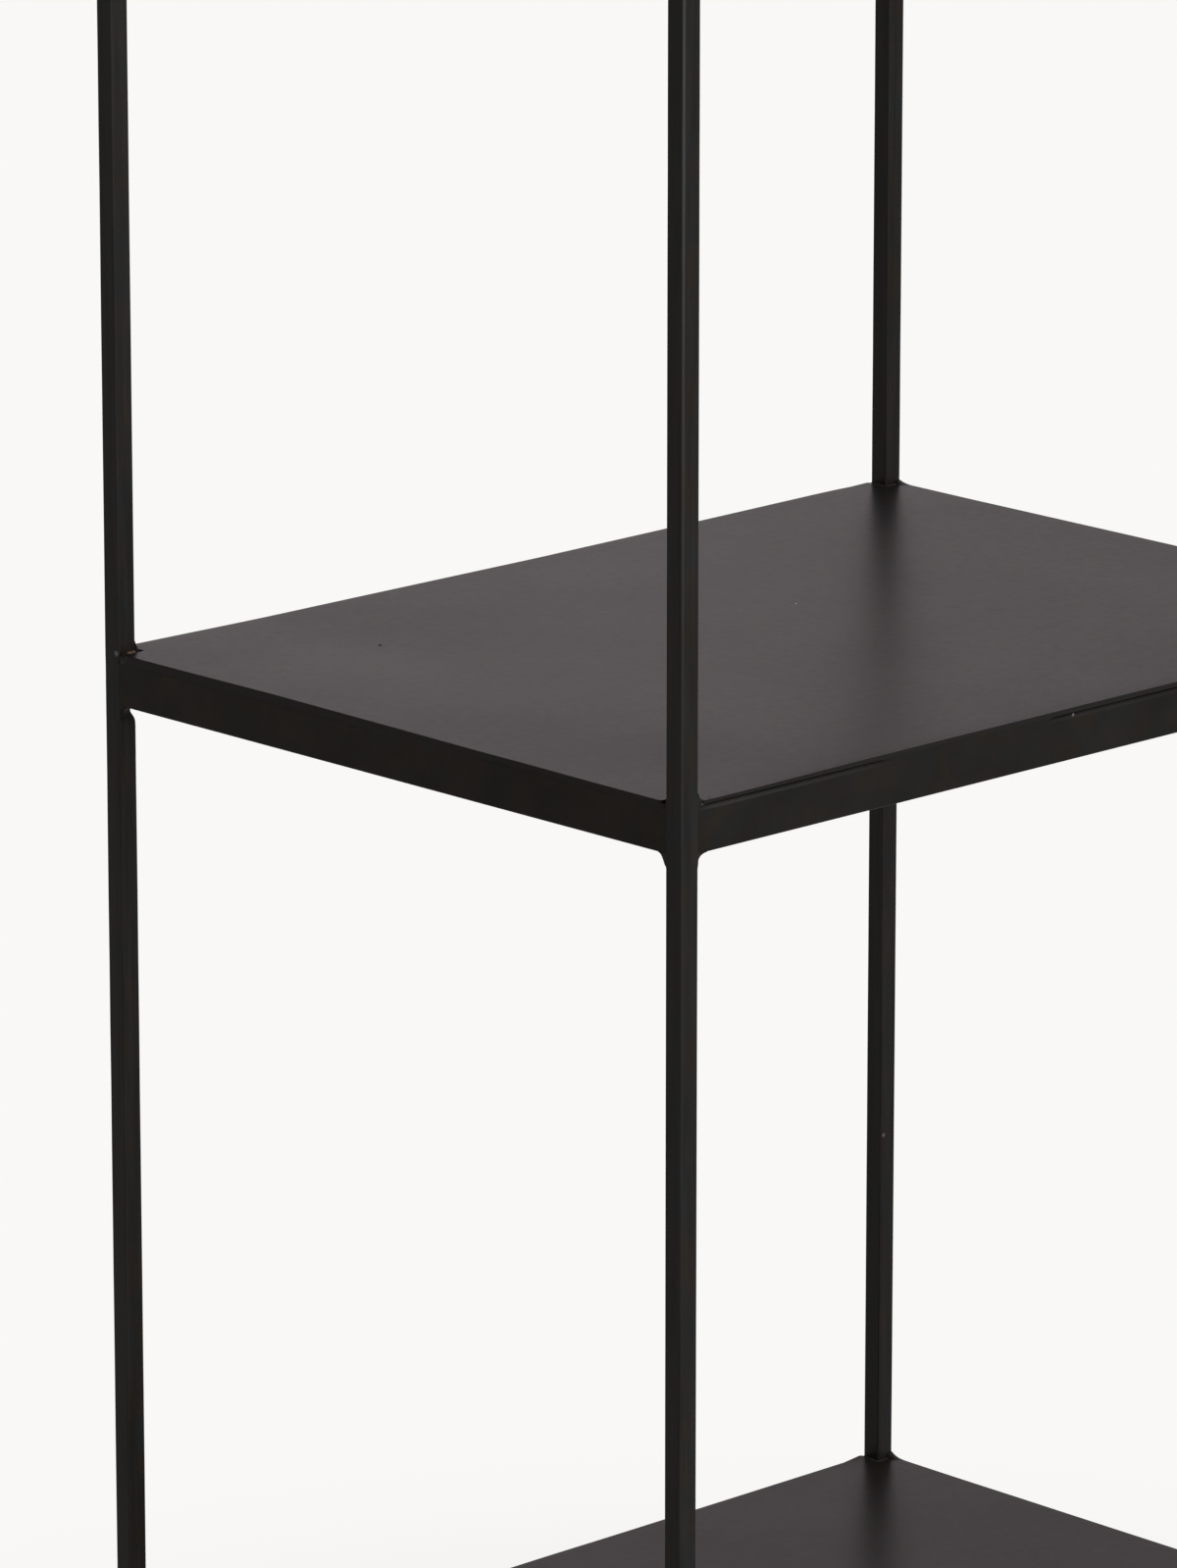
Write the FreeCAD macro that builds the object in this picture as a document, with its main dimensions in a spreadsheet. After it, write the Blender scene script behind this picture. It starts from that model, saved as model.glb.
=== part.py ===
import FreeCAD, Part
import math
import os
import re

import Sketcher

# Open metal shelf. Four square bars stand at the corners and carry four shelves. Each shelf
# is a frame of steel angle between the bars, heel up and outward, with a sheet lying on top.
# Rails and sheets are flush with the bars' outer faces, and the sheets are notched round the
# bars. Each bar stands on a plastic glide whose stem is pressed into a drilled hole.
# Millimetres. +Z is up, X follows the long side and Y the short side, and the origin is on
# the floor at the middle of the footprint.

# Driving dimensions: alias, value, what it measures
DRIVING = (
    ("width", 505.0, "over the outer faces of the posts along X"),
    ("depth", 375.0, "over the outer faces of the posts along Y"),
    ("first_level", 100.0, "top of the lowest sheet above the floor"),
    ("level_pitch", 500.0, "from the top of one sheet to the top of the next"),
    ("post_side", 10.0, "side of the square bar"),
    ("post_round", 1.0, "corner radius of the bar"),
    ("post_chamfer", 0.5, "chamfer round both ends of the bar"),
    ("sheet_gauge", 2.0, "thickness of the sheet"),
    ("sheet_edge", 0.3, "radius of the sheet's upper edge"),
    ("notch_gap", 1.6, "between a post and its notch"),
    ("notch_root", 1.0, "radius of a notch's inner corner"),
    ("notch_round", 2.5, "radius of a notch's two outer corners"),
    ("rail_height", 21.5, "upright leg of the angle"),
    ("rail_width", 20.0, "level leg of the angle"),
    ("rail_gauge", 3.0, "thickness of both legs"),
    ("rail_heel", 0.8, "radius of the angle's outer corner"),
    ("rail_root", 2.5, "radius of the angle's inner corner"),
    ("rail_toe", 1.5, "radius of each leg's inner end"),
    ("weld_leg", 6.0, "side of the weld below a rail's end"),
    ("weld_hollow", 1.4, "depth of the weld's hollow face"),
    ("glide_width", 9.0, "diameter of the glide"),
    ("glide_height", 4.0, "height of the glide below the post"),
    ("glide_round", 1.0, "radius of the glide's lower edge"),
    ("stem_width", 5.0, "diameter of the glide's stem"),
    ("stem_length", 14.0, "length of the stem"),
    ("stem_chamfer", 0.6, "chamfer at the stem's upper end"),
    ("stem_gap", 0.05, "between the stem and its hole, all round"),
    ("stem_relief", 2.0, "room above the stem in its hole"),
)
ALIASES = {alias for alias, value, note in DRIVING}
SHELF_COUNT = 4
DRILL_POINT_DEGREES = 118.0

# Corners of the footprint: name, side along X, side along Y
CORNERS = (
    ("front_left", -1, -1),
    ("front_right", 1, -1),
    ("back_left", -1, 1),
    ("back_right", 1, 1),
)

# Rails of one frame: name, turn about Z, the side it spans, place of its outer face
RAILS = (
    ("front", 0, "width", "0", "-depth / 2"),
    ("right", 90, "depth", "width / 2", "0"),
    ("back", 180, "width", "0", "depth / 2"),
    ("left", 270, "depth", "-width / 2", "0"),
)

doc = FreeCAD.newDocument("MetalShelf")
sheet = doc.addObject("Spreadsheet::Sheet", "Sizes")
nodes = []


def fill_sheet():
    for row, (alias, value, note) in enumerate(DRIVING, start=1):
        sheet.set("A%d" % row, note)
        sheet.set("B%d" % row, str(value))
        sheet.setAlias("B%d" % row, alias)
    doc.recompute()


def cells(text):
    """Puts the spreadsheet's name before each alias in an expression."""
    return re.sub(r"[a-z]\w*", lambda word: "Sizes." + word[0] if word[0] in ALIASES else word[0], text)


def value_of(text):
    """The present value of an expression."""
    return float(sheet.evalExpression(cells(text)))


def bind(thing, prop, text):
    thing.setExpression(prop, cells(text))


def new_body(label):
    body = doc.addObject("PartDesign::Body", label)
    body.Label = label
    nodes.append(body)
    return body


def place(body, x, y, z, turn=0):
    """Turns a body about Z and binds the place of its origin."""
    body.Placement = FreeCAD.Placement(FreeCAD.Vector(), FreeCAD.Rotation(FreeCAD.Vector(0, 0, 1), turn))
    bind(body, "Placement.Base.x", x)
    bind(body, "Placement.Base.y", y)
    bind(body, "Placement.Base.z", z)


def origin_plane(body, role):
    return next(plane for plane in body.Origin.OriginFeatures if plane.Role == role)


def new_sketch(body, name, role, offset=None):
    """A sketch on one of the body's origin planes, moved along its normal if asked."""
    sketch = body.newObject("Sketcher::SketchObject", body.Label + "_" + name)
    sketch.AttachmentSupport = [(origin_plane(body, role), "")]
    sketch.MapMode = "FlatFace"
    sketch.Visibility = False
    if offset:
        bind(sketch, "AttachmentOffset.Base.z", offset)
    return sketch


def hold(sketch, kind, text, *target):
    """Adds a constraint and binds its value to an expression."""
    index = sketch.addConstraint(Sketcher.Constraint(kind, *target, value_of(text)))
    sketch.setExpression("Constraints[%d]" % index, cells(text))


def hold_point(sketch, line, end, across, up):
    """Holds a line's start (1) or end (2) at two distances from the sketch's origin."""
    hold(sketch, "DistanceX", across, -1, 1, line, end)
    hold(sketch, "DistanceY", up, -1, 1, line, end)


def polygon(sketch, points):
    """A closed outline through points given as pairs of expressions."""
    corners = [FreeCAD.Vector(value_of(across), value_of(up), 0) for across, up in points]
    first = sketch.GeometryCount
    for start, end in zip(corners, corners[1:] + corners[:1]):
        sketch.addGeometry(Part.LineSegment(start, end))
    for index in range(len(points)):
        line = first + index
        following = first + (index + 1) % len(points)
        sketch.addConstraint(Sketcher.Constraint("Coincident", line, 2, following, 1))
        hold_point(sketch, line, 1, *points[index])


def pad(body, sketch, name, length, symmetric=False):
    feature = body.newObject("PartDesign::Pad", body.Label + "_" + name)
    feature.Profile = sketch
    if symmetric:
        feature.SideType = "Symmetric"
    bind(feature, "Length", length)
    doc.recompute()
    return feature


def same(one, other):
    return math.isclose(one, other, abs_tol=Part.Precision.approximation())


def edges_where(feature, test):
    """Names of the straight and curved edges whose middle and run pass a test."""
    names = []
    for number, edge in enumerate(feature.Shape.Edges, start=1):
        run = edge.Vertexes[-1].Point - edge.Vertexes[0].Point
        if test(edge.CenterOfMass, run):
            names.append("Edge%d" % number)
    return names


def dress(body, kind, name, base, test, prop, text):
    """A fillet or chamfer on the edges of a feature that pass a test."""
    feature = body.newObject("PartDesign::" + kind, body.Label + "_" + name)
    feature.Base = (base, edges_where(base, test))
    bind(feature, prop, text)
    doc.recompute()
    return feature


def is_upright(run):
    return same(run.x, 0) and same(run.y, 0) and not same(run.z, 0)


def is_along_x(run):
    return same(run.y, 0) and same(run.z, 0) and not same(run.x, 0)


def level_of(shelf):
    """Height of the top of a shelf's sheet, shelf 0 being the lowest."""
    return "(first_level + %d * level_pitch)" % shelf


def put_at_corner(body, side_x, side_y, z):
    x = "%d * (width - post_side) / 2" % side_x
    y = "%d * (depth - post_side) / 2" % side_y
    place(body, x, y, z)


def make_post(corner, side_x, side_y):
    """A square bar from its glide up to the top sheet, drilled at its foot."""
    body = new_body("post_" + corner)
    section = new_sketch(body, "section", "XY_Plane")
    low, high = "-post_side / 2", "post_side / 2"
    polygon(section, [(low, low), (high, low), (high, high), (low, high)])
    length = level_of(SHELF_COUNT - 1) + " - glide_height"
    bar = pad(body, section, "bar", length)
    rounded = dress(
        body, "Fillet", "corners", bar, lambda middle, run: is_upright(run), "Radius", "post_round"
    )
    chamfered = dress(
        body, "Chamfer", "ends", rounded, lambda middle, run: same(run.z, 0), "Size", "post_chamfer"
    )
    centre = new_sketch(body, "drilling", "XY_Plane")
    bore = "stem_width + 2 * stem_gap"
    centre.addGeometry(Part.Circle(FreeCAD.Vector(), FreeCAD.Vector(0, 0, 1), value_of(bore) / 2))
    centre.addConstraint(Sketcher.Constraint("Coincident", 0, 3, -1, 1))
    hold(centre, "Diameter", bore, 0)
    doc.recompute()
    hole = body.newObject("PartDesign::Hole", body.Label + "_stem_hole")
    hole.Profile = centre
    hole.Reversed = True
    hole.DepthType = "Dimension"
    hole.DrillPoint = "Angled"
    hole.DrillPointAngle = DRILL_POINT_DEGREES
    bind(hole, "Diameter", bore)
    bind(hole, "Depth", "stem_length + stem_relief")
    doc.recompute()
    assert hole.Shape.Volume < chamfered.Shape.Volume, body.Label + " isn't drilled"
    put_at_corner(body, side_x, side_y, "glide_height")


def make_glide(corner, side_x, side_y):
    """A round plastic foot and its stem, turned about Z."""
    body = new_body("foot_glide_" + corner)
    profile = new_sketch(body, "profile", "XZ_Plane")
    rim, stem = "glide_width / 2", "stem_width / 2"
    shoulder, tip = "glide_height", "glide_height + stem_length"
    polygon(
        profile,
        [("0", "0"), (rim, "0"), (rim, shoulder), (stem, shoulder), (stem, tip), ("0", tip)],
    )
    turned = body.newObject("PartDesign::Revolution", body.Label + "_turning")
    turned.Profile = profile
    turned.ReferenceAxis = (profile, ["V_Axis"])
    turned.Angle = 360
    doc.recompute()
    lowest = turned.Shape.BoundBox.ZMin
    highest = turned.Shape.BoundBox.ZMax
    rounded = dress(
        body, "Fillet", "rim", turned, lambda middle, run: same(middle.z, lowest), "Radius", "glide_round"
    )
    dress(
        body,
        "Chamfer",
        "tip",
        rounded,
        lambda middle, run: same(middle.z, highest),
        "Size",
        "stem_chamfer",
    )
    put_at_corner(body, side_x, side_y, "0")


def make_sheet(shelf):
    """The sheet of one shelf, with a rounded notch at each post."""
    body = new_body("shelf_sheet_%d" % (shelf + 1))
    outline = new_sketch(body, "outline", "XY_Plane")
    side_x, side_y = "width / 2", "depth / 2"
    in_x = "(width / 2 - post_side - notch_gap)"
    in_y = "(depth / 2 - post_side - notch_gap)"
    polygon(
        outline,
        [
            ("-" + in_x, "-" + side_y),
            (in_x, "-" + side_y),
            (in_x, "-" + in_y),
            (side_x, "-" + in_y),
            (side_x, in_y),
            (in_x, in_y),
            (in_x, side_y),
            ("-" + in_x, side_y),
            ("-" + in_x, in_y),
            ("-" + side_x, in_y),
            ("-" + side_x, "-" + in_y),
            ("-" + in_x, "-" + in_y),
        ],
    )
    plate = pad(body, outline, "plate", "sheet_gauge")
    root_x, root_y = value_of(in_x), value_of(in_y)

    def is_root(middle):
        return same(abs(middle.x), root_x) and same(abs(middle.y), root_y)

    rooted = dress(
        body,
        "Fillet",
        "notch_roots",
        plate,
        lambda middle, run: is_upright(run) and is_root(middle),
        "Radius",
        "notch_root",
    )
    outer_x, outer_y = value_of(side_x), value_of(side_y)
    rounded = dress(
        body,
        "Fillet",
        "notch_corners",
        rooted,
        lambda middle, run: is_upright(run)
        and (same(abs(middle.x), outer_x) or same(abs(middle.y), outer_y)),
        "Radius",
        "notch_round",
    )
    top = value_of("sheet_gauge")
    dress(
        body,
        "Fillet",
        "upper_edge",
        rounded,
        lambda middle, run: same(middle.z, top),
        "Radius",
        "sheet_edge",
    )
    place(body, "0", "0", level_of(shelf) + " - sheet_gauge")


def make_rail(side, turn, span, x, y, shelf):
    """A length of angle between two posts, mitred where the level legs meet.

    Its own frame has the outer face on y = 0 and the top on z = 0.
    """
    body = new_body("rail_%s_%d" % (side, shelf + 1))
    section = new_sketch(body, "section", "YZ_Plane")
    polygon(
        section,
        [
            ("0", "0"),
            ("rail_width", "0"),
            ("rail_width", "-rail_gauge"),
            ("rail_gauge", "-rail_gauge"),
            ("rail_gauge", "-rail_height"),
            ("0", "-rail_height"),
        ],
    )
    angle = pad(body, section, "angle", span + " - 2 * post_side", symmetric=True)
    width, height, gauge = (value_of(name) for name in ("rail_width", "rail_height", "rail_gauge"))
    heel = dress(
        body,
        "Fillet",
        "heel",
        angle,
        lambda middle, run: is_along_x(run) and same(middle.y, 0) and same(middle.z, 0),
        "Radius",
        "rail_heel",
    )
    root = dress(
        body,
        "Fillet",
        "root",
        heel,
        lambda middle, run: is_along_x(run) and same(middle.y, gauge) and same(middle.z, -gauge),
        "Radius",
        "rail_root",
    )
    toes = dress(
        body,
        "Fillet",
        "toes",
        root,
        lambda middle, run: is_along_x(run)
        and (
            (same(middle.y, width) and same(middle.z, -gauge))
            or (same(middle.y, gauge) and same(middle.z, -height))
        ),
        "Radius",
        "rail_toe",
    )
    waste = new_sketch(body, "mitre_waste", "XY_Plane")
    end = "(%s / 2 - post_side)" % span
    for sign in ("", "-"):
        polygon(
            waste,
            [
                (sign + end, "post_side"),
                (sign + end, "post_side + rail_width"),
                ("%s(%s - rail_width)" % (sign, end), "post_side + rail_width"),
            ],
        )
    mitred = body.newObject("PartDesign::Pocket", body.Label + "_mitres")
    mitred.Profile = waste
    bind(mitred, "Length", "rail_height")
    doc.recompute()
    assert mitred.Shape.Volume < toes.Shape.Volume, body.Label + " isn't mitred"
    place(body, x, y, level_of(shelf) + " - sheet_gauge", turn)


def weld_section(sketch, post_face, inward):
    """A hollow-faced weld in the corner between a rail's end and a post's side.

    The corner lies at (post_face, 0), and inward is + or - towards the middle of the rail.
    """
    toe = "(%s %s weld_leg)" % (post_face, inward)
    corner_point = FreeCAD.Vector(value_of(post_face), 0, 0)
    toe_point = FreeCAD.Vector(value_of(toe), 0, 0)
    foot_point = FreeCAD.Vector(value_of(post_face), value_of("-weld_leg"), 0)
    radius = "(weld_leg ^ 2 / 2 + weld_hollow ^ 2) / (2 * weld_hollow)"
    towards_corner = (corner_point - (toe_point + foot_point) / 2).normalize()
    crown_point = (toe_point + foot_point) / 2 + towards_corner * value_of("weld_hollow")
    level, upright, face = 0, 1, 2
    sketch.addGeometry(Part.LineSegment(toe_point, corner_point))
    sketch.addGeometry(Part.LineSegment(corner_point, foot_point))
    sketch.addGeometry(Part.Arc(foot_point, crown_point, toe_point))
    sketch.addConstraint(Sketcher.Constraint("Coincident", level, 2, upright, 1))
    foot_end = 1 if sketch.getPoint(face, 1).isEqual(foot_point, Part.Precision.approximation()) else 2
    sketch.addConstraint(Sketcher.Constraint("Coincident", upright, 2, face, foot_end))
    sketch.addConstraint(Sketcher.Constraint("Coincident", level, 1, face, 3 - foot_end))
    hold_point(sketch, level, 2, post_face, "0")
    hold_point(sketch, level, 1, toe, "0")
    hold_point(sketch, upright, 2, post_face, "-weld_leg")
    hold(sketch, "Radius", radius, face)


def make_corner_welds(shelf):
    """The eight welds below one frame's rail ends, flush with the rails' outer faces."""
    body = new_body("corner_welds_%d" % (shelf + 1))
    front = new_sketch(body, "front_section", "XZ_Plane", "depth / 2 - rail_gauge")
    weld_section(front, "(width / 2 - post_side)", "-")
    front_weld = pad(body, front, "front_weld", "rail_gauge")
    right = new_sketch(body, "right_section", "YZ_Plane", "width / 2 - rail_gauge")
    weld_section(right, "(post_side - depth / 2)", "+")
    right_weld = pad(body, right, "right_weld", "rail_gauge")
    mirrors = []
    for name, role in (("left_right", "YZ_Plane"), ("front_back", "XZ_Plane")):
        mirror = body.newObject("PartDesign::Mirrored", body.Label + "_" + name)
        mirror.MirrorPlane = (origin_plane(body, role), [""])
        mirrors.append(mirror)
    copies = body.newObject("PartDesign::MultiTransform", body.Label + "_copies")
    copies.Originals = [front_weld, right_weld]
    copies.Transformations = mirrors
    body.Tip = copies
    doc.recompute()
    place(body, "0", "0", level_of(shelf) + " - sheet_gauge - rail_height")


def check_and_write():
    doc.recompute()
    for thing in doc.Objects:
        faults = [word for word in thing.State if word in ("Invalid", "Error")]
        assert not faults, "%s: %s" % (thing.Label, faults)
    for body in nodes:
        assert not body.Shape.isNull(), body.Label + " is empty"
        assert body.Shape.isValid(), body.Label + " isn't valid"
    os.makedirs("parts", exist_ok=True)
    for body in nodes:
        body.Shape.exportStep("parts/%s.step" % body.Label)
        print(body.Label, len(body.Shape.Solids), "solids, volume", round(body.Shape.Volume, 1))


fill_sheet()
for corner, side_x, side_y in CORNERS:
    make_post(corner, side_x, side_y)
    make_glide(corner, side_x, side_y)
for shelf in range(SHELF_COUNT):
    make_sheet(shelf)
    for side, turn, span, x, y in RAILS:
        make_rail(side, turn, span, x, y, shelf)
    make_corner_welds(shelf)
check_and_write()
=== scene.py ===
import math
import random

import bmesh
import bpy
import numpy as np
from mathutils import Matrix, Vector, noise


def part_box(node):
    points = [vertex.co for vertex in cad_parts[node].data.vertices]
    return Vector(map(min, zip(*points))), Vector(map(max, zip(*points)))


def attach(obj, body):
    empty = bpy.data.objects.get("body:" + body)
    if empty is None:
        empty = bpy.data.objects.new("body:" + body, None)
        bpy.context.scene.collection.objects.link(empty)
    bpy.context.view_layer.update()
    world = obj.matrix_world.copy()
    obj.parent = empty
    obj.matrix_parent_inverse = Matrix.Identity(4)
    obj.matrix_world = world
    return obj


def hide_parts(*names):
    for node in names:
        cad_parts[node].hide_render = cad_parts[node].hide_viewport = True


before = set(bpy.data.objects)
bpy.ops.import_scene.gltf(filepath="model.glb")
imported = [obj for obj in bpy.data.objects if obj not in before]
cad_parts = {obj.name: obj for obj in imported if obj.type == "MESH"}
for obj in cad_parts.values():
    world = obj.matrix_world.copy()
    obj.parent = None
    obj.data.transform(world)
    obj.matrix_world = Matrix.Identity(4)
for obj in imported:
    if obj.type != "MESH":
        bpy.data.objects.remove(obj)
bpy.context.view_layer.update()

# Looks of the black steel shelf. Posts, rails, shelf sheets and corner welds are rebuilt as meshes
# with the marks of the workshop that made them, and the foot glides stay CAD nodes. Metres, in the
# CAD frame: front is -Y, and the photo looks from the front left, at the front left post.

MM = 0.001
SHELVES = (1, 2, 3, 4)
PHOTO_SHELF = 2  # the whole shelf in the photo's middle
CORNERS = {"front_left": (-1, -1), "front_right": (1, -1), "back_left": (-1, 1), "back_right": (1, 1)}
# Each rail: the axis that it runs along, and on which side of the shelf it lies
RAILS = {"front": ("x", -1), "back": ("x", 1), "left": ("y", -1), "right": ("y", 1)}

# Sizes
POST_ROUND = 0.8 * MM  # rounding of a post's long edges
POST_CHAMFER = 0.5 * MM  # at its two ends
OUTER_ROUND = 1.5  # how much rounder the bar's outer edge is
FILLED_ROUND = 0.04 * MM  # what is left of that rounding where a weld was ground flush
RAIL_GAUGE = 3.0 * MM  # thickness of the angle's legs
RAIL_LEVEL_LEG = 20.0 * MM
RAIL_HEEL = 2.1 * MM  # rounding of the angle's outer corner, seen where the seam is open
RAIL_ROOT = 2.5 * MM  # of its inner corner
RAIL_TOE = 1.5 * MM  # of each leg's inner end
RAIL_FOOT = 0.7 * MM  # of the upright leg's outer lower edge
SHEET_EDGE = 0.45 * MM  # rounding of the sheet's upper edges
SHEET_UNDER_EDGE = 0.15 * MM  # and of its lower ones
# Between a post and the sheet round it
NOTCH_GAP = {
    "front_left": 3.0 * MM, "front_right": 2.2 * MM, "back_right": 1.6 * MM, "back_left": 2.8 * MM,
}
NOTCH_ROOT = 1.0 * MM
NOTCH_ROUND = 2.0 * MM
SUNK = 0.02 * MM  # a filler lies this much below the face that it fills, a grain in its sheet
CUT_TOUCH = 1e-7  # how near a cut a mesh point counts as on it
LEVEL_TOUCH = 1e-6  # and how near a level


def place_object(name, data):
    """An object with that data, in the scene."""
    placed = bpy.data.objects.new(name, data)
    bpy.context.scene.collection.objects.link(placed)
    return placed


# Camera
PHOTO_SIZE = (1200, 1599)
CAMERA_AT = Vector((-3.0499, -3.0496, 1.6623))
CAMERA_HEADING = math.radians(46.225)  # from +X towards +Y
CAMERA_PITCH = math.radians(14.741)  # down
CAMERA_LENS = 222.8
CAMERA_SENSOR = 36.0
CAMERA_FAR = 200.0
PHOTO_FOCUS = CAMERA_LENS / CAMERA_SENSOR * PHOTO_SIZE[1]  # focal length in photo pixels


def make_camera():
    """The photo's view: a long lens from a shelf's diagonal, looking down a little."""
    data = bpy.data.cameras.new("camera")
    data.lens, data.sensor_width, data.sensor_fit = CAMERA_LENS, CAMERA_SENSOR, "AUTO"
    data.clip_end = CAMERA_FAR
    camera = place_object("camera", data)
    camera.location = CAMERA_AT
    camera.rotation_euler = (math.pi / 2 - CAMERA_PITCH, 0, CAMERA_HEADING - math.pi / 2)
    bpy.context.scene.camera = camera


def sight_line(column, row):
    """Direction in which the photo's pixel looks."""
    turn, pitch = CAMERA_HEADING, CAMERA_PITCH
    ahead = Vector((math.cos(turn) * math.cos(pitch), math.sin(turn) * math.cos(pitch), -math.sin(pitch)))
    right = Vector((math.sin(turn), -math.cos(turn), 0))
    up = right.cross(ahead)
    across = column - (PHOTO_SIZE[0] - 1) / 2
    down = row - (PHOTO_SIZE[1] - 1) / 2
    return (ahead * PHOTO_FOCUS + right * across - up * down).normalized()


def seen_on(column, row, axis, level):
    """Where a pixel's sight line meets the plane axis = level."""
    line = sight_line(column, row)
    return CAMERA_AT + line * ((level - CAMERA_AT[axis]) / line[axis])


# Small helpers
ROUND_STEPS = 5  # parts that a quarter circle is split into
QUARTER = math.pi / 2


def smooth(low, high, value):
    """0 up to low, 1 from high, smooth between."""
    t = min(1.0, max(0.0, (value - low) / (high - low)))
    return t * t * (3 - 2 * t)


def bell(value, centre, width):
    return math.exp(-(((value - centre) / width) ** 2))


def arc(centre, radius, start, end):
    angles = [start + (end - start) * step / ROUND_STEPS for step in range(ROUND_STEPS + 1)]
    return [(centre[0] + radius * math.cos(a), centre[1] + radius * math.sin(a)) for a in angles]


def spokes(side, up, count):
    """Evenly spread angles, each with the direction that it has from side towards up."""
    angles = [2 * math.pi * k / count for k in range(count)]
    return [(a, side * math.cos(a) + up * math.sin(a)) for a in angles]


def wander(*where):
    """A smooth random value from -1 to 1 that depends on a place only."""
    return noise.noise((where + (0.0, 0.0))[:3])


def settle_normals(mesh):
    """Lets large faces rule the shading, so that flats stay flat beside their rounded edges."""
    normals = np.zeros((len(mesh.vertices), 3))
    for face in mesh.polygons:
        normals[list(face.vertices)] += np.array(face.normal) * face.area
    normals /= np.maximum(np.linalg.norm(normals, axis=1, keepdims=True), 1e-20)
    mesh.shade_smooth()
    mesh.normals_split_custom_set_from_vertices(normals.tolist())


def add_piece(name, bm, material, replaced=()):
    """Turns a bmesh into a piece that rides on the shelf."""
    bmesh.ops.recalc_face_normals(bm, faces=bm.faces[:])
    mesh = bpy.data.meshes.new(name)
    bm.to_mesh(mesh)
    bm.free()
    settle_normals(mesh)
    mesh.materials.append(material)
    piece = place_object(name, mesh)
    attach(piece, "root")
    if replaced:
        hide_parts(*replaced)


def loft(bm, rings, wear_and_highlight=()):
    """Skins closed rings of equally many points, with a share of edge scuffing and painted highlight for
    each point if given.
    """
    edge_factor = bm.verts.layers.float.new("edge_wear_and_highlight") if wear_and_highlight else None
    made = [[bm.verts.new(point) for point in ring] for ring in rings]
    count = len(made[0])
    for one, two in zip(made, made[1:]):
        for k in range(count):
            bm.faces.new((one[k], one[(k + 1) % count], two[(k + 1) % count], two[k]))
    bm.faces.new(made[0])
    bm.faces.new(made[-1])
    for vert, share in zip(bm.verts, wear_and_highlight):
        vert[edge_factor] = share


def cut_mesh(bm, spot, normal, **more):
    geom = bm.verts[:] + bm.edges[:] + bm.faces[:]
    return bmesh.ops.bisect_plane(bm, geom=geom, plane_co=spot, plane_no=normal, dist=CUT_TOUCH, **more)


# Places on the frame
POST_LOW, POST_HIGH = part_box("post_front_left")
POST_SIDE = POST_HIGH.x - POST_LOW.x
HALF_WIDTH, HALF_DEPTH = -POST_LOW.x, -POST_LOW.y
RAIL_BOTTOM = {n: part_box("rail_front_%d" % n)[0].z for n in SHELVES}
RAIL_TOP = {n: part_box("rail_front_%d" % n)[1].z for n in SHELVES}
SHEET_TOP = {n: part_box("shelf_sheet_%d" % n)[1].z for n in SHELVES}
HALVES = (HALF_WIDTH, HALF_DEPTH)


def at_corner(corner, u, v, z):
    """A point u in from the corner's outer x face and v in from its outer y face."""
    sign_x, sign_y = CORNERS[corner]
    return Vector((sign_x * (HALF_WIDTH - u), sign_y * (HALF_DEPTH - v), z))


def beside_post(corner, axis, along, inward, z):
    """A point along a rail from the post's face that carries it, and inward from the rail's face."""
    if axis == "x":
        return at_corner(corner, POST_SIDE + along, inward, z)
    return at_corner(corner, inward, POST_SIDE + along, z)


def on_rail(rail, along, inward, z):
    """A point on a rail: along it from the shelf's middle, and inward from its outer face."""
    axis, side = RAILS[rail]
    if axis == "x":
        return Vector((along, side * (HALF_DEPTH - inward), z))
    return Vector((side * (HALF_WIDTH - inward), along, z))


def rail_reach(rail):
    """Half the rail's length between its posts."""
    return HALVES[RAILS[rail][0] == "y"] - POST_SIDE


# Posts
FREE_STEP = 30 * MM
JOINT_STEP = 1.0 * MM
JOINT_BELOW = 16 * MM
JOINT_ABOVE = 6 * MM
WELD_REACH = 5.5 * MM  # how far below a rail the ground weld fills the post's edge
WELD_FADE = 1.5 * MM  # half of what that filling takes to begin
SHEET_FADE = 0.6 * MM  # and to end, at the sheet's top
ROUND_WAVES = ((0.14, 45, 0), (0.08, 210, 7))  # of the rounding: share, waves per metre, seed
GRIND_DEPTH = 0.06 * MM  # dished in by the grinder at a joint
GRIND_REACH = 14 * MM
GRIND_WAVES = (60, 90, 130)  # per metre up the post and across it in u and v
POST_SEEDS = (3.1, 11.7)  # of the first post, and from each to the next
EDGE_WEAR_AND_HIGHLIGHT = (1.0, 0.30, 0.25, 0.30)  # share of edge scuffing and painted highlight: outer, x rail's, inner and y rail's edge
# Each post's share of edge scuffing and painted highlight
POST_WEAR_AND_HIGHLIGHT = {"front_left": 1.0, "front_right": 0.7, "back_left": 0.7, "back_right": 0.8}
WEAR_AND_HIGHLIGHT_LOW, WEAR_AND_HIGHLIGHT_FROM, WEAR_AND_HIGHLIGHT_TO = 0.12, 0.52, 1.02  # share of it low down, and its rise up the post, where the painted highlight grows
FACE_PAINTED_LIGHT = 0.11  # painted light: how much lighter the left post's front face is above the photo's shelf

# A nick or a touch of the grinder: u, v, photo column and row, depth, half height and width
NICKS = {
    "back_left": (POST_SIDE, POST_SIDE, 132, 725, 1.8 * MM, 2.9 * MM, 3.2 * MM),
    "back_right": (0.0, POST_SIDE, 900, 1466, 0.2 * MM, 3.0 * MM, 2.0 * MM),
}


def rounded_square(radii):
    """Points round the post's section, in its own u and v, with a rounding for each edge."""
    side, points = POST_SIDE, []
    for index, (spot, radius) in enumerate(zip(((0, 0), (side, 0), (side, side), (0, side)), radii)):
        middle = [place + (radius if place == 0 else -radius) for place in spot]
        points += arc(middle, radius, QUARTER * (2 + index), QUARTER * (3 + index))
    return points


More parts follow.
